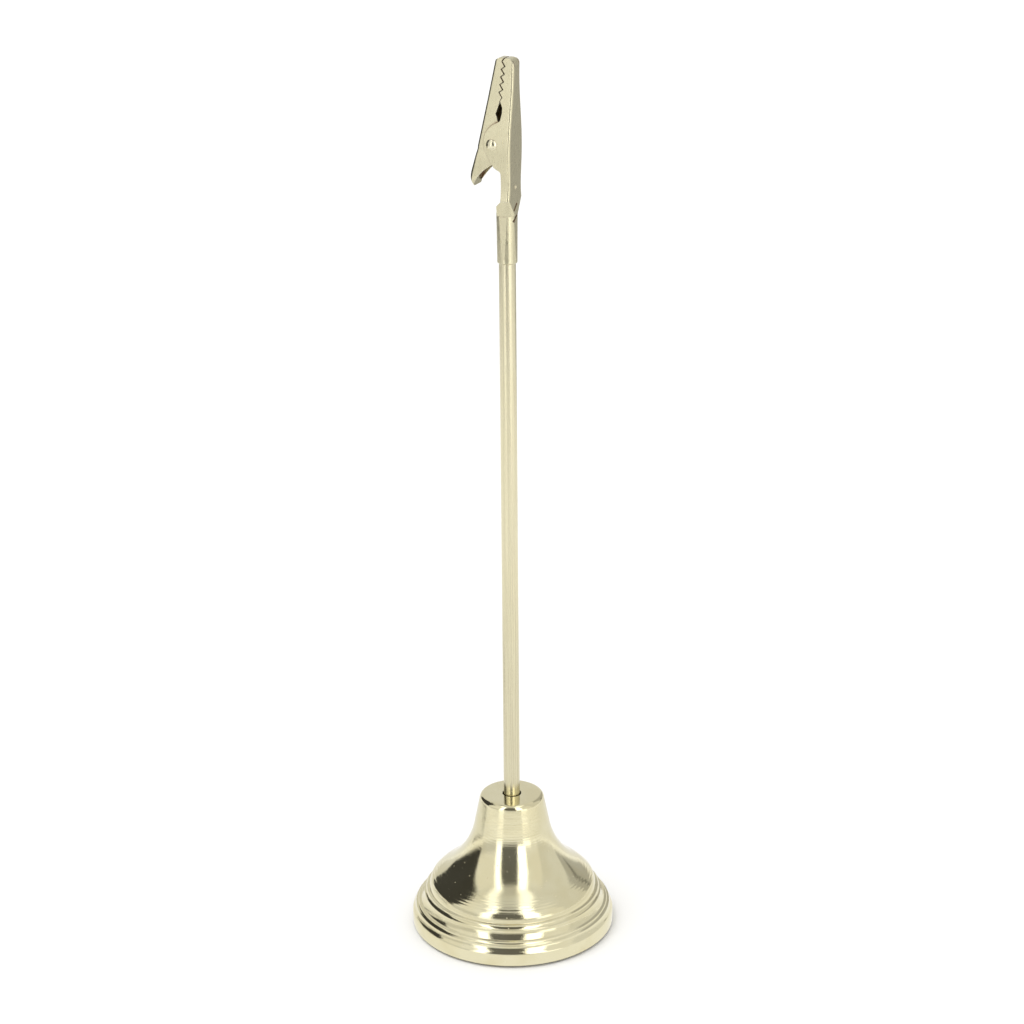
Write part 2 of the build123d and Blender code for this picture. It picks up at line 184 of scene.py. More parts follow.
def arc_points(start, end, sag, count):
    """Points after start along a circular arc that bulges to the left of its chord by sag."""
    a = Vector(start)
    b = Vector(end)
    chord = b - a
    length = chord.length
    radius = (length * length / 4 + sag * sag) / (2 * abs(sag))
    normal = Vector((-chord.y, chord.x)) / length * math.copysign(1, sag)
    centre = (a + b) / 2 - normal * (radius - abs(sag))
    first = math.atan2(a.y - centre.y, a.x - centre.x)
    turn = math.atan2(b.y - centre.y, b.x - centre.x) - first
    turn = (turn + math.pi) % (2 * math.pi) - math.pi
    angles = [first + turn * step / count for step in range(1, count + 1)]
    return [(centre.x + radius * math.cos(t), centre.y + radius * math.sin(t)) for t in angles]


def tangent_arc(start, end, tangent, count):
    """Points after start along the arc that leaves it in the given direction, and the end direction."""
    chord = Vector(end) - Vector(start)
    heading = Vector(tangent).normalized()
    bend = math.atan2(heading.x * chord.y - heading.y * chord.x, heading.dot(chord))
    sag = -chord.length / 2 * math.tan(bend / 2)
    turned = Matrix.Rotation(bend, 2) @ chord.normalized()
    return arc_points(start, end, sag, count), turned


def straight(start, end, count):
    """Evenly spaced points after start on a line."""
    a = Vector(start)
    b = Vector(end)
    return [tuple(a.lerp(b, step / count)) for step in range(1, count + 1)]


def grooved(points):
    """The same profile with fine grooves cut into the outer stretches that GROOVE_BANDS names."""
    made = [points[0]]
    travelled = 0.0
    for start, end in zip(points, points[1:]):
        a = Vector(start)
        b = Vector(end)
        run = b - a
        middle = (a.y + b.y) / 2
        bands = [band for band in GROOVE_BANDS if band[0] < middle < band[1] and run.x > 0]
        if not bands:
            made.append(end)
            continue
        low, high, pitch, depth = bands[0]
        outward = Vector((-run.y, run.x)).normalized()
        fade = math.sin(math.pi * (middle - low) / (high - low))
        steps = max(1, round(run.length / GROOVE_STEP))
        for step in range(1, steps + 1):
            travelled += run.length / steps
            uneven = 1 - GROOVE_UNEVEN + GROOVE_UNEVEN * math.sin(GROOVE_BEAT * travelled)
            cut = depth * fade * uneven * (1 - math.cos(2 * math.pi * travelled / pitch)) / 2
            made.append(tuple(a.lerp(b, step / steps) - outward * cut))
    return made


# ------------------------------------------------------------------ meshes

def add_object(name, data):
    """New object in the scene."""
    obj = bpy.data.objects.new(name, data)
    bpy.context.scene.collection.objects.link(obj)
    return obj


def finished_object(name, verts, faces):
    """Object from vertices and faces, shaded smooth between sharp edges."""
    mesh = bpy.data.meshes.new(name)
    mesh.from_pydata(verts, [], faces)
    mesh.validate()
    mesh.shade_smooth()
    mesh.set_sharp_from_angle(angle=SHARP_ANGLE)
    return add_object(name, mesh)


def spun_mesh(name, profile, segments, closed, place=None):
    """Surface of revolution round Z, moved to its place; points on the axis become single vertices."""
    verts = []
    rings = []
    for radius, height in profile:
        count = 1 if radius < AXIS_R else segments
        rings.append([len(verts) + i for i in range(count)])
        for i in range(count):
            angle = 2 * math.pi * i / segments
            verts.append((radius * math.cos(angle) * MM, radius * math.sin(angle) * MM, height * MM))
    pairs = list(zip(rings, rings[1:]))
    if closed:
        pairs.append((rings[-1], rings[0]))
    faces = []
    for upper, lower in pairs:
        for i in range(segments):
            j = (i + 1) % segments
            corners = [
                upper[i % len(upper)], lower[i % len(lower)],
                lower[j % len(lower)], upper[j % len(upper)],
            ]
            face = list(dict.fromkeys(corners))
            if len(face) > 2:
                faces.append(face)
    if place is not None:
        verts = [tuple(place @ Vector(v)) for v in verts]
    return finished_object(name, verts, faces)


def tube_mesh(name, path, radius, sides):
    """Round wire along a path of points, with closed ends."""
    points = [Vector(p) for p in path]
    verts = []
    across = Vector((0, 1, 0))
    for i, point in enumerate(points):
        heading = (points[min(i + 1, len(points) - 1)] - points[max(i - 1, 0)]).normalized()
        across = (across - heading * across.dot(heading)).normalized()
        third = heading.cross(across)
        for side in range(sides):
            turn = 2 * math.pi * side / sides
            outward = across * math.cos(turn) + third * math.sin(turn)
            verts.append(tuple((point + outward * radius) * MM))
    faces = []
    for ring in range(len(points) - 1):
        for side in range(sides):
            low = ring * sides + side
            high = ring * sides + (side + 1) % sides
            faces.append((low, high, high + sides, low + sides))
    faces += [tuple(reversed(range(sides))), tuple(range(len(verts) - sides, len(verts)))]
    return finished_object(name, verts, faces)


# ------------------------------------------------------------------ shader helpers

EDGE_WEAR_AND_SHADE_COSINES = (0.995, 0.8)     # between rounded and true normal: where the edge colour starts, where it is full; that colour is wear, and painted shade at the clip's mouth and cuts
SPECK_CHANCE = (0.3, 0.4)       # a cell whose random value is below this has no speck
SPECK_CORE = 0.6                # share of a speck's radius that is full


def node(tree, kind, **settings):
    """New shader node with the given settings."""
    made = tree.nodes.new(kind)
    for key, value in settings.items():
        setattr(made, key, value)
    return made


def feed(tree, socket, value):
    """Link a socket to another, or set its value."""
    if isinstance(value, bpy.types.NodeSocket):
        tree.links.new(value, socket)
    else:
        socket.default_value = value


def calc(tree, operation, first, second=0.0, third=0.0):
    """Result of a math operation on numbers or sockets."""
    made = node(tree, "ShaderNodeMath", operation=operation)
    for socket, value in zip(made.inputs, (first, second, third)):
        feed(tree, socket, value)
    return made.outputs[0]


def ramp(tree, value, ends, results=(0.0, 1.0)):
    """Smooth step: the first result up to the first end, the second result from the second end on."""
    made = node(tree, "ShaderNodeMapRange", interpolation_type="SMOOTHSTEP")
    feed(tree, made.inputs["Value"], value)
    for key, number in zip(("From Min", "From Max", "To Min", "To Max"), (*ends, *results)):
        made.inputs[key].default_value = number
    return made.outputs["Result"]


def mix_colour(tree, factor, first, second):
    """The first colour where factor is zero, the second where it is one."""
    made = node(tree, "ShaderNodeMix", data_type="RGBA")
    feed(tree, made.inputs["Factor"], factor)
    for name, value in (("A", first), ("B", second)):
        socket = [s for s in made.inputs if s.name == name and s.type == "RGBA"][0]
        feed(tree, socket, value)
    return [s for s in made.outputs if s.type == "RGBA"][0]


def noise(tree, vector, scale=1.0, detail=2.0, roughness=0.5):
    """Cloudy noise round 0.5."""
    made = node(tree, "ShaderNodeTexNoise")
    feed(tree, made.inputs["Vector"], vector)
    made.inputs["Scale"].default_value = scale
    made.inputs["Detail"].default_value = detail
    made.inputs["Roughness"].default_value = roughness
    return made.outputs["Fac"]


def cells(tree, vector, scale):
    """Cell pattern: distance to the nearest cell's centre, and a random colour for each cell."""
    made = node(tree, "ShaderNodeTexVoronoi")
    feed(tree, made.inputs["Vector"], vector)
    made.inputs["Scale"].default_value = scale
    return made.outputs["Distance"], made.outputs["Color"]


def join_xyz(tree, x, y, z):
    """Vector from three values."""
    made = node(tree, "ShaderNodeCombineXYZ")
    for socket, value in zip(made.inputs, (x, y, z)):
        feed(tree, socket, value)
    return made.outputs[0]


def split_xyz(tree, vector):
    """Three values of a vector or colour."""
    made = node(tree, "ShaderNodeSeparateXYZ")
    feed(tree, made.inputs[0], vector)
    return made.outputs


def stretched(tree, vector, factors):
    """Vector with each axis multiplied by its own factor: a larger one gives a finer pattern."""
    made = node(tree, "ShaderNodeVectorMath", operation="MULTIPLY")
    feed(tree, made.inputs[0], vector)
    made.inputs[1].default_value = factors
    return made.outputs[0]


def millimetres(tree):
    """Place on the object, in millimetres."""
    place = node(tree, "ShaderNodeTexCoord").outputs["Object"]
    scaled = node(tree, "ShaderNodeVectorMath", operation="SCALE")
    feed(tree, scaled.inputs[0], place)
    scaled.inputs["Scale"].default_value = 1 / MM
    return scaled.outputs[0]


def around_axis(tree, place, least_radius=0.01):
    """Seamless vector for a turned surface: direction round the Z axis, and height less radius."""
    x, y, z = split_xyz(tree, place)
    x_squared = calc(tree, "MULTIPLY", x, x)
    y_squared = calc(tree, "MULTIPLY", y, y)
    radius = calc(tree, "SQRT", calc(tree, "ADD", x_squared, y_squared))
    safe = calc(tree, "MAXIMUM", radius, least_radius)
    along = calc(tree, "SUBTRACT", z, radius)
    return join_xyz(tree, calc(tree, "DIVIDE", x, safe), calc(tree, "DIVIDE", y, safe), along)


def specks(tree, place, per_mm, size):
    """One inside scattered round spots, zero between them; about a third of the cells have no spot."""
    distance, colour = cells(tree, place, per_mm)
    kept = ramp(tree, split_xyz(tree, colour)[0], SPECK_CHANCE)
    return calc(tree, "MULTIPLY", ramp(tree, distance, (size, SPECK_CORE * size)), kept)


def crevice(tree, reach_mm):
    """Zero deep inside folds and gaps, one in the open."""
    occlusion = node(tree, "ShaderNodeAmbientOcclusion", samples=16)
    occlusion.inputs["Distance"].default_value = reach_mm * MM
    return occlusion.outputs["AO"]


def worn_and_shaded_edges(tree, tone, edge, amount, radius_mm):
    """Tone with its sharp edges turned towards the edge colour, and the normal rounded over them."""
    bevel = node(tree, "ShaderNodeBevel", samples=4)
    bevel.inputs["Radius"].default_value = radius_mm * MM
    true_normal = node(tree, "ShaderNodeNewGeometry").outputs["Normal"]
    alike = node(tree, "ShaderNodeVectorMath", operation="DOT_PRODUCT")
    feed(tree, alike.inputs[0], bevel.outputs[0])
    feed(tree, alike.inputs[1], true_normal)
    edge_wear_and_shade = ramp(tree, alike.outputs["Value"], EDGE_WEAR_AND_SHADE_COSINES)
    return mix_colour(tree, calc(tree, "MULTIPLY", edge_wear_and_shade, amount), tone, edge), bevel.outputs[0]


def bump(tree, height, strength, distance_mm, normal=None):
    """Normal tilted by a height pattern."""
    made = node(tree, "ShaderNodeBump")
    feed(tree, made.inputs["Height"], height)
    made.inputs["Strength"].default_value = strength
    made.inputs["Distance"].default_value = distance_mm * MM
    if normal is not None:
        feed(tree, made.inputs["Normal"], normal)
    return made.outputs[0]


def empty_tree(owner):
    """The node tree of a material or world, with nothing in it."""
    owner.use_nodes = True
    owner.node_tree.nodes.clear()
    return owner.node_tree


def start_material(name, metallic):
    """New material with one principled shader."""
    material = bpy.data.materials.new(name)
    tree = empty_tree(material)
    shader = node(tree, "ShaderNodeBsdfPrincipled")
    tree.links.new(shader.outputs[0], node(tree, "ShaderNodeOutputMaterial").inputs["Surface"])
    shader.inputs["Metallic"].default_value = metallic
    return material, tree, shader


# ------------------------------------------------------------------ materials

GOLD_PALE = (0.80, 0.745, 0.51, 1)
GOLD_DEEP = (0.76, 0.695, 0.45, 1)
SATIN_PALE = (0.76, 0.71, 0.52, 1)
SATIN_DEEP = (0.66, 0.60, 0.42, 1)
EDGE_PALE = (0.90, 0.87, 0.72, 1)
CLIP_PALE = (0.68, 0.63, 0.43, 1)
CLIP_DEEP = (0.65, 0.60, 0.405, 1)
CLIP_DRAWN = (0.71, 0.665, 0.48, 1)
# painted brown shade for the insides of folds and gaps
CLIP_CREVICE_SHADE = (0.22, 0.095, 0.045, 1)
# painted shade for the edges at the toothed mouth and the strap's cuts
CLIP_GAP_SHADE = (0.07, 0.045, 0.025, 1)
# painted dark reflection for the moving jaw's outer folds
FOLD_PAINTED_REFLECTION = (0.13, 0.125, 0.085, 1)
RIVET_PALE = (0.84, 0.79, 0.58, 1)
RIVET_DEEP = (0.7, 0.65, 0.46, 1)
STEEL_EDGE = (0.8, 0.8, 0.78, 1)
FOAM_PALE = (0.045, 0.044, 0.043, 1)
FOAM_DEEP = (0.02, 0.02, 0.021, 1)
# deep tone, pale tone, roughness from smooth to rough, grain per millimetre
STEELS = {
    "zinc_fastener": ((0.5, 0.51, 0.5, 1), (0.62, 0.63, 0.62, 1), (0.32, 0.48), 0.8),
    "iron_slug": ((0.11, 0.105, 0.1, 1), (0.2, 0.19, 0.18, 1), (0.55, 0.8), 0.6),
    "spring_wire": ((0.3, 0.3, 0.3, 1), (0.45, 0.44, 0.42, 1), (0.3, 0.45), 1.5),
}


def polished_plate():
    """Bright champagne plating over turned metal: fine rings, faint clouding, small handling marks."""
    material, tree, shader = start_material("polished_plate", 1.0)
    place = millimetres(tree)
    turned = around_axis(tree, place)
    rings = noise(tree, stretched(tree, turned, (0.35, 0.35, 7.0)), detail=3.0, roughness=0.6)
    marks = noise(tree, stretched(tree, turned, (14.0, 14.0, 2.5)), detail=4.0, roughness=0.7)
    cloud = noise(tree, place, scale=0.13)
    nick = ramp(tree, marks, (0.69, 0.74))
    speck = specks(tree, place, per_mm=0.6, size=0.10)
    tone = mix_colour(tree, ramp(tree, cloud, (0.35, 0.65)), GOLD_DEEP, GOLD_PALE)
    tone, rounded = worn_and_shaded_edges(tree, tone, EDGE_PALE, amount=0.6, radius_mm=0.12)
    feed(tree, shader.inputs["Base Color"], tone)
    ring_gloss = ramp(tree, rings, (0.3, 0.75), (0.05, 0.11))
    cloud_gloss = ramp(tree, cloud, (0.3, 0.7), (0.0, 0.03))
    rough = calc(tree, "ADD", ring_gloss, cloud_gloss)
    rough = calc(tree, "ADD", rough, calc(tree, "MULTIPLY", nick, 0.2))
    rough = calc(tree, "ADD", rough, calc(tree, "MULTIPLY", speck, 0.7))
    feed(tree, shader.inputs["Roughness"], rough)
    height = calc(tree, "SUBTRACT", rings, calc(tree, "MULTIPLY", nick, 0.8))
    normal = bump(tree, height, strength=0.5, distance_mm=0.02, normal=rounded)
    feed(tree, shader.inputs["Normal"], normal)
    return material


def satin_rod():
    """Drawn rod: lengthwise streaks in tone, gloss and height."""
    material, tree, shader = start_material("satin_rod", 1.0)
    place = millimetres(tree)
    streak = noise(tree, stretched(tree, place, (5.0, 5.0, 0.03)), detail=3.0, roughness=0.65)
    fine = noise(tree, stretched(tree, place, (16.0, 16.0, 0.15)), roughness=0.6)
    cloud = noise(tree, place, scale=0.08)
    tone = mix_colour(tree, ramp(tree, streak, (0.3, 0.7)), SATIN_DEEP, GOLD_PALE)
    tone = mix_colour(tree, ramp(tree, cloud, (0.3, 0.7), (0.0, 0.35)), tone, SATIN_PALE)
    tone, rounded = worn_and_shaded_edges(tree, tone, EDGE_PALE, amount=0.6, radius_mm=0.1)
    feed(tree, shader.inputs["Base Color"], tone)
    feed(tree, shader.inputs["Roughness"], ramp(tree, streak, (0.25, 0.75), (0.2, 0.36)))
    height = calc(tree, "ADD", streak, calc(tree, "MULTIPLY", fine, 0.6))
    normal = bump(tree, height, strength=0.35, distance_mm=0.03, normal=rounded)
    feed(tree, shader.inputs["Normal"], normal)
    return material


def shaded_gap_edges(tree, place):
    """One along the toothed mouth and the strap's two cuts, where shade is painted dark on the edges.
    """
    x, y, z = split_xyz(tree, place)
    mouth_x = calc(tree, "MULTIPLY_ADD", z, MOUTH_SLOPE, MOUTH_X - MOUTH_SLOPE * MOUTH_Z)
    off_mouth = calc(tree, "ABSOLUTE", calc(tree, "SUBTRACT", x, mouth_x))
    mouth = calc(tree, "MULTIPLY", ramp(tree, off_mouth, MOUTH_REACH), ramp(tree, z, MOUTH_LOW))
    across = calc(tree, "ABSOLUTE", calc(tree, "SUBTRACT", y, STRAP_Y))
    along = calc(tree, "ABSOLUTE", calc(tree, "SUBTRACT", z, STRAP_Z))
    strap = calc(tree, "MULTIPLY", ramp(tree, across, STRAP_WIDTH), ramp(tree, along, STRAP_HEIGHT))
    strap = calc(tree, "MULTIPLY", strap, ramp(tree, x, STRAP_FACE))
    return calc(tree, "MAXIMUM", mouth, strap)


def fold_reflection_mask(tree, place):
    """One on the two outer folds of the moving jaw, where a dark reflection is painted."""
    x, y, z = split_xyz(tree, place)
    drop = calc(tree, "SUBTRACT", z, FOLD_KINK_Z)
    upper = calc(tree, "MULTIPLY_ADD", drop, FOLD_SLOPE, FOLD_KINK_X)
    lever = calc(tree, "MULTIPLY_ADD", drop, FOLD_LEVER_SLOPE, FOLD_KINK_X)
    depth = calc(tree, "SUBTRACT", x, calc(tree, "MINIMUM", upper, lever))
    above = calc(tree, "MAXIMUM", calc(tree, "SUBTRACT", z, FOLD_TAPER_Z), 0.0)
    half = calc(tree, "MULTIPLY_ADD", above, FOLD_TAPER, FOLD_HALF)
    beside = calc(tree, "SUBTRACT", calc(tree, "ABSOLUTE", y), half)
    return calc(tree, "MULTIPLY", ramp(tree, depth, FOLD_ON_WALL), ramp(tree, beside, FOLD_ON_BACK))


def clip_plate():
    """Satin plating on pressed sheet: grain, mottle, rubbed edges; painted brown shade in the folds and
    gaps, painted dark shade on the edges at the mouth and the strap's cuts, painted dark reflection on
    the moving jaw's outer folds.
    """
    material, tree, shader = start_material("clip_plate", 1.0)
    place = millimetres(tree)
    grain = noise(tree, place, scale=7.0, detail=3.0, roughness=0.6)
    mottle = noise(tree, place, scale=0.7, detail=3.0, roughness=0.55)
    draw = noise(tree, stretched(tree, place, (6.0, 6.0, 0.35)), roughness=0.6)
    tone = mix_colour(tree, ramp(tree, mottle, (0.3, 0.7)), CLIP_DEEP, CLIP_PALE)
    tone = mix_colour(tree, ramp(tree, draw, (0.3, 0.75), (0.0, 0.4)), tone, CLIP_DRAWN)
    # edges at the mouth and the strap's cuts get painted dark shade in place of the pale rubbed colour
    edge = mix_colour(tree, shaded_gap_edges(tree, place), EDGE_PALE, CLIP_GAP_SHADE)
    tone, rounded = worn_and_shaded_edges(tree, tone, edge, amount=0.92, radius_mm=0.12)
    # painted dark reflection along the moving jaw's outer folds
    tone = mix_colour(tree, calc(tree, "MULTIPLY", fold_reflection_mask(tree, place), 0.9), tone, FOLD_PAINTED_REFLECTION)
    # painted brown shade inside folds and gaps, made less metallic there too
    crevice_shade = ramp(tree, crevice(tree, reach_mm=2.6), (0.85, 0.5), (0.0, 0.95))
    feed(tree, shader.inputs["Base Color"], mix_colour(tree, crevice_shade, tone, CLIP_CREVICE_SHADE))
    feed(tree, shader.inputs["Metallic"], calc(tree, "MULTIPLY_ADD", crevice_shade, -0.7, 1.0))
    feed(tree, shader.inputs["Roughness"], ramp(tree, draw, (0.3, 0.7), (0.27, 0.29)))
    height = calc(tree, "ADD", grain, calc(tree, "MULTIPLY", draw, 0.5))
    normal = bump(tree, height, strength=0.06, distance_mm=0.01, normal=rounded)
    feed(tree, shader.inputs["Normal"], normal)
    return material


def rivet_plate():
    """Cloudy plating on the rivet, a little paler than the clip's, with a fine grain."""
    material, tree, shader = start_material("rivet_plate", 1.0)
    place = millimetres(tree)
    cloud = noise(tree, place, scale=3.0, detail=3.0)
    grain = noise(tree, place, scale=8.0, detail=3.0)
    tone = mix_colour(tree, ramp(tree, cloud, (0.35, 0.65)), RIVET_DEEP, RIVET_PALE)
    feed(tree, shader.inputs["Base Color"], tone)
    feed(tree, shader.inputs["Roughness"], ramp(tree, cloud, (0.3, 0.7), (0.2, 0.34)))
    feed(tree, shader.inputs["Normal"], bump(tree, grain, strength=0.3, distance_mm=0.02))
    return material


def plain_steel(name):
    """Bare or zinced steel: cloudy tone, grainy gloss, rubbed edges."""
    deep, pale, gloss, per_mm = STEELS[name]
    material, tree, shader = start_material(name, 1.0)
    place = millimetres(tree)
    cloud = noise(tree, place, scale=per_mm, detail=3.0, roughness=0.6)
    grain = noise(tree, place, scale=6 * per_mm, detail=3.0)
    tone = mix_colour(tree, ramp(tree, cloud, (0.3, 0.7)), deep, pale)
    tone, rounded = worn_and_shaded_edges(tree, tone, STEEL_EDGE, amount=0.7, radius_mm=0.12)
    feed(tree, shader.inputs["Base Color"], tone)
    feed(tree, shader.inputs["Roughness"], ramp(tree, cloud, (0.3, 0.7), gloss))
    normal = bump(tree, grain, strength=0.4, distance_mm=0.03, normal=rounded)
    feed(tree, shader.inputs["Normal"], normal)
    return material


def pad_foam():
    """Dark closed-cell foam."""
    material, tree, shader = start_material("pad_foam", 0.0)
    place = millimetres(tree)
    pores = cells(tree, place, scale=3.0)[0]
    cloud = noise(tree, place, scale=0.5, detail=3.0)
    tone = mix_colour(tree, ramp(tree, cloud, (0.3, 0.7)), FOAM_DEEP, FOAM_PALE)
    feed(tree, shader.inputs["Base Color"], tone)
    feed(tree, shader.inputs["Roughness"], ramp(tree, cloud, (0.3, 0.7), (0.75, 0.95)))
    feed(tree, shader.inputs["Normal"], bump(tree, pores, strength=0.6, distance_mm=0.1))
    return material


# ------------------------------------------------------------------ pieces

def bell_outside():
    """Outer side of the bell from its flat top to the rim."""
    neck_heading = Vector(NECK_LOW) - Vector(NECK_TOP)
    flare, waist_heading = tangent_arc(NECK_LOW, WAIST, neck_heading, count=60)
    shoulder = tuple(Vector(WAIST) + waist_heading * SHOULDER_RUN)
    points = [(TOP_MIDDLE_R, FOOT_H), (TOP_FLAT_R, FOOT_H)]
    points += tangent_arc((TOP_FLAT_R, FOOT_H), NECK_TOP, (1, 0), count=12)[0]
    points += straight(NECK_TOP, NECK_LOW, count=16)
    points += flare
    points += straight(WAIST, shoulder, count=8)
    points += tangent_arc(shoulder, SKIRT, waist_heading, count=16)[0]
    points += arc_points(SKIRT, COVE, RING_SAG, count=8)
    for top, low in RINGS:
        points.append(top)
        points += arc_points(top, low, -RING_SAG, count=8)
    points += [(FOOT_R, RIM_TOP_Z), (FOOT_R, RIM_LIFT + RING_SAG), (FOOT_R - RING_SAG, RIM_LIFT)]
    return points


def inset(corner, inwards, down):
    """The corner moved inwards and down by shares of the sheet's thickness."""
    return (corner[0] - inwards * SHELL_T, corner[1] - down * SHELL_T)


def bell_inside():
    """Inner side of the bell, from the rim up to the hole, about one sheet thickness in."""
    neck_heading = Vector(NECK_LOW) - Vector(NECK_TOP)
    neck_low = inset(NECK_LOW, 1, 0.25)
    flare = tangent_arc(neck_low, inset(WAIST, 0.75, 0.75), neck_heading, count=20)[0]
    points = [inset((FOOT_R, RIM_LIFT), 1, 0)]
    points += [inset(low, 1, 1) for _, low in reversed(RINGS[1:])]
    points += [inset(COVE, 1, 1), inset(SKIRT, 1, 0.5)]
    points += list(reversed(flare))
    points += [neck_low, inset((NECK_TOP[0], FOOT_H), 1, 1), inset((HOLE_R, FOOT_H), 0, 1)]
    return points


def make_bell():
    """Spun sheet-metal foot with a hole for the rod."""
    hole = [(HOLE_R, FOOT_H - HOLE_BEVEL), (HOLE_R + HOLE_BEVEL, FOOT_H)]
    profile = hole + grooved(bell_outside()) + bell_inside()
    return spun_mesh("bell_foot", profile, BELL_SEGMENTS, closed=True)


def make_rod():
    """Rod with a rounded upper end and a thread, drawn as grooves, on its lower end."""
    end = [(ROD_R - inwards, ROD_TOP - down) for inwards, down in ROD_END]
    profile = [(0, ROD_TOP)] + end
    profile += straight(end[-1], (ROD_R, THREAD_TOP), count=40)
    turns = int((THREAD_TOP - ROD_LOW) / THREAD_PITCH)
    for turn in reversed(range(turns)):
        z = ROD_LOW + turn * THREAD_PITCH
        profile.append((ROD_R - THREAD_DEPTH, z + THREAD_PITCH))
        profile += [(ROD_R, z + share * THREAD_PITCH) for share in THREAD_CREST]
    profile += [(ROD_R - THREAD_DEPTH, ROD_LOW), (0, ROD_LOW)]
    return spun_mesh("rod", profile, ROD_SEGMENTS, closed=False)


def make_pad():
    """Foam disc with rounded edges."""
    inner_r = PAD_R - PAD_EDGE
    upper_z = PAD_T - PAD_EDGE
    profile = [(0, PAD_T), (inner_r, PAD_T)]
    profile += arc_points((inner_r, PAD_T), (PAD_R, upper_z), -PAD_EDGE_SAG, count=5)
    profile += straight((PAD_R, upper_z), (PAD_R, PAD_EDGE), count=3)
    profile += arc_points((PAD_R, PAD_EDGE), (inner_r, 0), -PAD_EDGE_SAG, count=5)
    profile += [(0, 0)]
    return spun_mesh("pad", profile, PAD_SEGMENTS, closed=False)


def make_rivet():
    """Domed rivet along Y."""
    dome_r = (RIVET_HEAD_R**2 + RIVET_HEAD_T**2) / (2 * RIVET_HEAD_T)
    dome_centre = RIVET_GRIP + RIVET_HEAD_T - dome_r
    radii = [RIVET_HEAD_R * step / DOME_STEPS for step in range(DOME_STEPS + 1)]
    half = [(radius, dome_centre + math.sqrt(dome_r**2 - radius**2)) for radius in radii]
    half += [(RIVET_HEAD_R - RIVET_LIP, RIVET_GRIP), (RIVET_R, RIVET_GRIP)]
    profile = half + [(radius, -height) for radius, height in reversed(half)]
    pivot = Vector((PIVOT_X, PIVOT_Y, PIVOT_Z)) * MM
    place = Matrix.Translation(pivot) @ Matrix.Rotation(math.radians(-90), 4, "X")
    return spun_mesh("rivet", profile, RIVET_SEGMENTS, closed=False, place=place)


def spring_path():
    """Points along the wire: up the fixed leg, round the coil, down the lever's leg."""
    half = COIL_TURNS * COIL_PITCH / 2
    coil_x = PIVOT_X + COIL_R
    fixed_leg = [FIXED_LEG_END]
    fixed_leg += straight(FIXED_LEG_END, (coil_x, PIVOT_Z - FIXED_LEG_STOP), LEG_STEPS)
    path = [(x, half, z) for x, z in fixed_leg]
    steps = COIL_STEPS * COIL_TURNS
    for step in range(steps + 1):
        turn = 2 * math.pi * COIL_TURNS * step / steps
        y = half - COIL_PITCH * COIL_TURNS * step / steps
        path.append((PIVOT_X + COIL_R * math.cos(turn), y, PIVOT_Z + COIL_R * math.sin(turn)))
    path += [(x, -half, z) for x, z in straight((coil_x, PIVOT_Z), LEVER_LEG_END, LEG_STEPS)]
    return path


def make_spring():
    """Torsion spring round the rivet, with one leg on the stand's side and one on the jaw's."""
    spring = tube_mesh("spring", spring_path(), WIRE_R, WIRE_SIDES)
    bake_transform(spring)
    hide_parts("torsion_spring")
    return spring


def paint(obj, material):
    """Give an object one material."""
    obj.data.materials.clear()
    obj.data.materials.append(material)


def add_piece(obj, node_name, material):
    """Paint a piece, hang it on the stand's body and hide the CAD node it stands for."""
    paint(obj, material)
    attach(obj, "stand")
    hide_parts(node_name)


# ------------------------------------------------------------------ light, floor, camera

CAMERA_AIM_Z = 110.7
CAMERA_DISTANCE = 640.0
CAMERA_AZIMUTH = math.radians(25.0)
CAMERA_ELEVATION = math.radians(20.8)
CAMERA_ROLL = math.radians(0.46)
CAMERA_LENS = 93.52
CAMERA_SENSOR = 36.0
CAMERA_FAR_END = 20.0       # metres
AIM_RIGHT = 0.61            # the camera looks this far to the right of the rod
VIEW_UP = Vector((0, 0, 1))
VIEW_RIGHT = Vector((math.cos(CAMERA_AZIMUTH), math.sin(CAMERA_AZIMUTH), 0))
VIEW_FRONT = Vector((math.sin(CAMERA_AZIMUTH), -math.cos(CAMERA_AZIMUTH), 0))

TENT_COLOUR = (1.0, 0.995, 0.98, 1)
TENT_LEVELS = (0.9, 0.74)           # round the object, overhead
TENT_HEIGHTS = (0.75, 0.95)         # between these upward directions the level changes
FLOOR_HALF = 4.0                    # metres
FLOOR_WHITE = (0.93, 0.93, 0.93, 1)
LAMP_ENERGY = 1.1
LAMP_SPREAD = math.radians(50)
LAMP_TILT = (math.radians(18), math.radians(-14), 0)

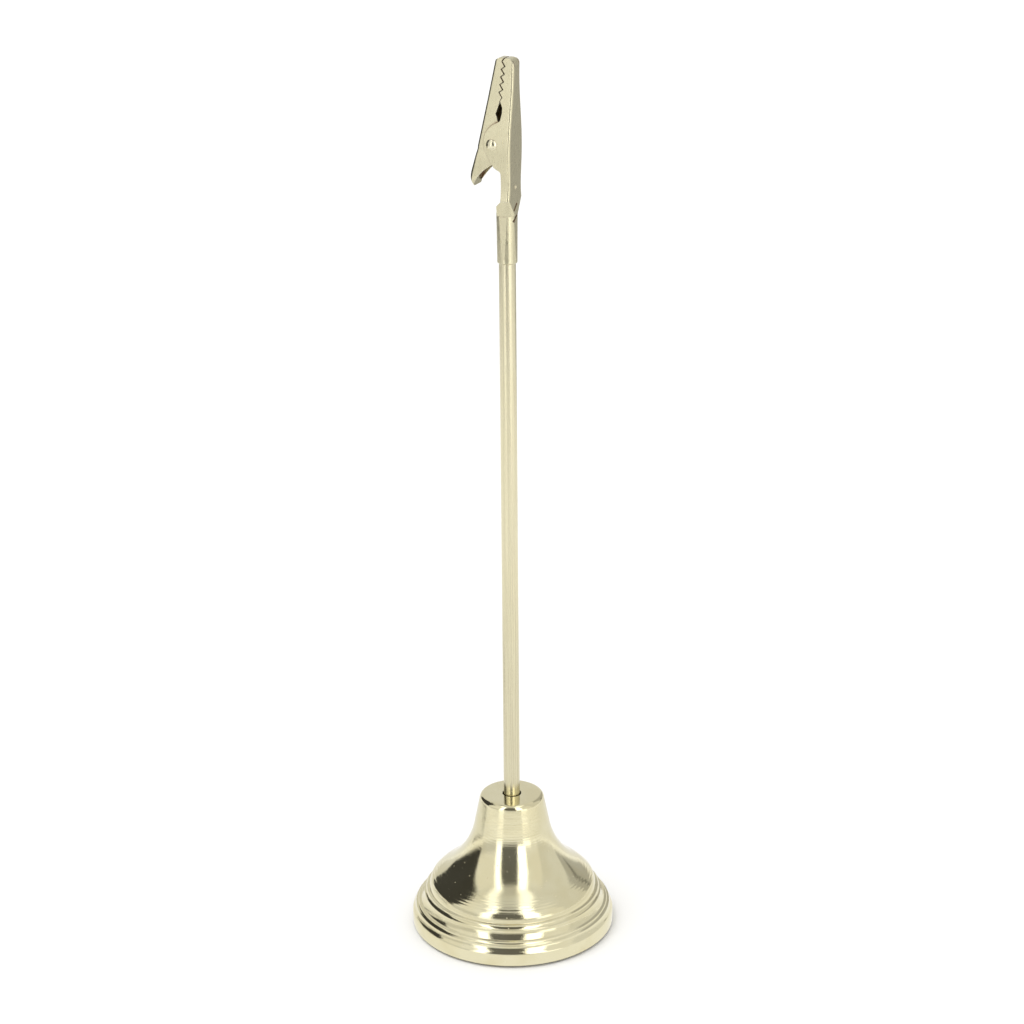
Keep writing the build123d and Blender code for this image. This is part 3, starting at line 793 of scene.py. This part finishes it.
# azimuths, low arc and high arc as distance and height, brightness; nearer cards hide farther ones
CARDS = {
    "card_strip_left": ((-41, -29), (450, 60), (450, 860), 2.6),
    "card_strip_right": ((14.5, 35), (450, 60), (450, 860), 2.6),
    "card_strip_left_low": ((-44, -27), (450, 0), (450, 60), 1.7),
    "card_strip_right_low": ((31, 51), (450, 0), (450, 60), 1.7),
    "card_gap_low": ((-27, 31), (450, 0), (450, 45), 0.78),
    "card_gap": ((-29, 14.5), (450, 45), (450, 700), 0.15),
    "card_front_top": ((-34, 20), (460, 700), (460, 1600), 0.6),
    "card_side_left": ((-86, -41), (480, 120), (480, 700), 0.92),
    "card_side_left_low": ((-86, -44), (480, 0), (480, 120), 0.7),
    "card_side_right": ((70, 118), (480, 0), (480, 900), 0.78),
    "card_dark_left": ((-142, -86), (480, 45), (480, 720), 0.055),
    "card_dark_ring": ((-124, -90), (150, 0.3), (150, 5), 0.06),
    "card_dark_behind": ((-180, -92), (60, 168), (60, 203), 0.05),
    "card_grey_right": ((118, 158), (330, 30), (330, 420), 0.5),
    "card_line_right": ((129, 133), (325, 60), (325, 190), 0.25),
    "card_back": ((158, 218), (480, 0), (480, 700), 0.78),
    "sheet_near": ((0, 360), (25.6, 0.3), (60, 0.3), 1.0),
    "sheet_far": ((0, 360), (60, 0.3), (200, 0.3), 0.92),
}
CARD_STEPS = 24
# overhead strips: sideways reach, reach towards the camera's side, height, brightness
SHELVES = {
    "shelf_left": ((-390, -220), (-150, 450), 860, 1.5),
    "shelf_right": ((95, 300), (-150, 450), 860, 1.6),
}


def light_tent():
    """Bright even tent, a little dimmer overhead."""
    world = bpy.data.worlds.new("light_tent")
    bpy.context.scene.world = world
    tree = empty_tree(world)
    height = split_xyz(tree, node(tree, "ShaderNodeTexCoord").outputs["Generated"])[2]
    background = node(tree, "ShaderNodeBackground")
    background.inputs["Color"].default_value = TENT_COLOUR
    feed(tree, background.inputs["Strength"], ramp(tree, height, TENT_HEIGHTS, TENT_LEVELS))
    tree.links.new(background.outputs[0], node(tree, "ShaderNodeOutputWorld").inputs["Surface"])


def glow_only(obj, level):
    """Make a stage sheet glow evenly and show only in mirror images."""
    material = bpy.data.materials.new(obj.name)
    tree = empty_tree(material)
    glow = node(tree, "ShaderNodeEmission")
    glow.inputs["Strength"].default_value = level
    tree.links.new(glow.outputs[0], node(tree, "ShaderNodeOutputMaterial").inputs["Surface"])
    paint(obj, material)
    for ray in ("visible_camera", "visible_diffuse", "visible_shadow", "visible_transmission"):
        setattr(obj, ray, False)


def card(name, azimuths, low, high, level):
    """Curved studio card between two arcs round the object.

    Azimuth counts in degrees from the camera's side towards its right.
    """
    first, last = azimuths
    verts = []
    for step in range(CARD_STEPS + 1):
        turn = math.radians(first + (last - first) * step / CARD_STEPS) + CAMERA_AZIMUTH
        for reach, z in (low, high):
            verts.append((reach * math.sin(turn) * MM, -reach * math.cos(turn) * MM, z * MM))
    faces = [(2 * i, 2 * i + 1, 2 * i + 3, 2 * i + 2) for i in range(CARD_STEPS)]
    glow_only(finished_object(name, verts, faces), level)


def shelf(name, sideways, forward, height, level):
    """Flat overhead strip, laid out as the camera sees it."""
    corners = [(sideways[i], forward[j]) for i, j in ((0, 0), (1, 0), (1, 1), (0, 1))]
    verts = [tuple((VIEW_RIGHT * x + VIEW_FRONT * y + VIEW_UP * height) * MM) for x, y in corners]
    glow_only(finished_object(name, verts, [(0, 1, 2, 3)]), level)


def make_floor():
    """Wide pale floor, and a soft lamp over it that the metal doesn't mirror."""
    corners = [(x * FLOOR_HALF, y * FLOOR_HALF, 0) for x, y in ((-1, -1), (1, -1), (1, 1), (-1, 1))]
    mesh = bpy.data.meshes.new("floor")
    mesh.from_pydata(corners, [], [(0, 1, 2, 3)])
    floor = add_object("floor", mesh)
    material, _, shader = start_material("floor_white", 0.0)
    shader.inputs["Base Color"].default_value = FLOOR_WHITE
    shader.inputs["Roughness"].default_value = 0.9
    shader.inputs["Specular IOR Level"].default_value = 0.0
    paint(floor, material)
    lamp_data = bpy.data.lights.new("overhead", "SUN")
    lamp_data.energy = LAMP_ENERGY
    lamp_data.angle = LAMP_SPREAD
    lamp = add_object("overhead", lamp_data)
    lamp.rotation_euler = LAMP_TILT
    lamp.visible_glossy = False


def make_camera():
    """Camera at the photo's viewpoint."""
    aim = VIEW_UP * CAMERA_AIM_Z
    outwards = VIEW_FRONT * math.cos(CAMERA_ELEVATION) + VIEW_UP * math.sin(CAMERA_ELEVATION)
    place = aim + outwards * CAMERA_DISTANCE
    back = (place - aim - VIEW_RIGHT * AIM_RIGHT).normalized()
    right = VIEW_UP.cross(back).normalized()
    up = back.cross(right)
    turn = Matrix((right, up, back)).transposed() @ Matrix.Rotation(-CAMERA_ROLL, 3, "Z")
    data = bpy.data.cameras.new("camera")
    data.lens = CAMERA_LENS
    data.sensor_width = CAMERA_SENSOR
    data.clip_end = CAMERA_FAR_END
    camera = add_object("camera", data)
    camera.matrix_world = Matrix.Translation(place * MM) @ turn.to_4x4()
    bpy.context.scene.camera = camera


# ------------------------------------------------------------------ build

gold = polished_plate()
satin = satin_rod()
clip = clip_plate()
zinc = plain_steel("zinc_fastener")
iron = plain_steel("iron_slug")
wire = plain_steel("spring_wire")

add_piece(make_bell(), "base_shell", gold)
add_piece(make_rod(), "stem", satin)
add_piece(make_pad(), "foot_pad", pad_foam())
add_piece(make_rivet(), "pivot_rivet", rivet_plate())
for jaw in ("fixed_jaw", "moving_jaw"):
    paint(frame["nodes"][jaw], clip)
for fastener in ("upper_nut", "flat_washer", "spring_washer", "lower_nut"):
    paint(frame["nodes"][fastener], zinc)
paint(frame["nodes"]["base_weight"], iron)
paint(make_spring(), wire)

light_tent()
for card_name, settings in CARDS.items():
    card(card_name, *settings)
for shelf_name, settings in SHELVES.items():
    shelf(shelf_name, *settings)
make_floor()
make_camera()
bpy.context.scene.view_settings.view_transform = "Standard"
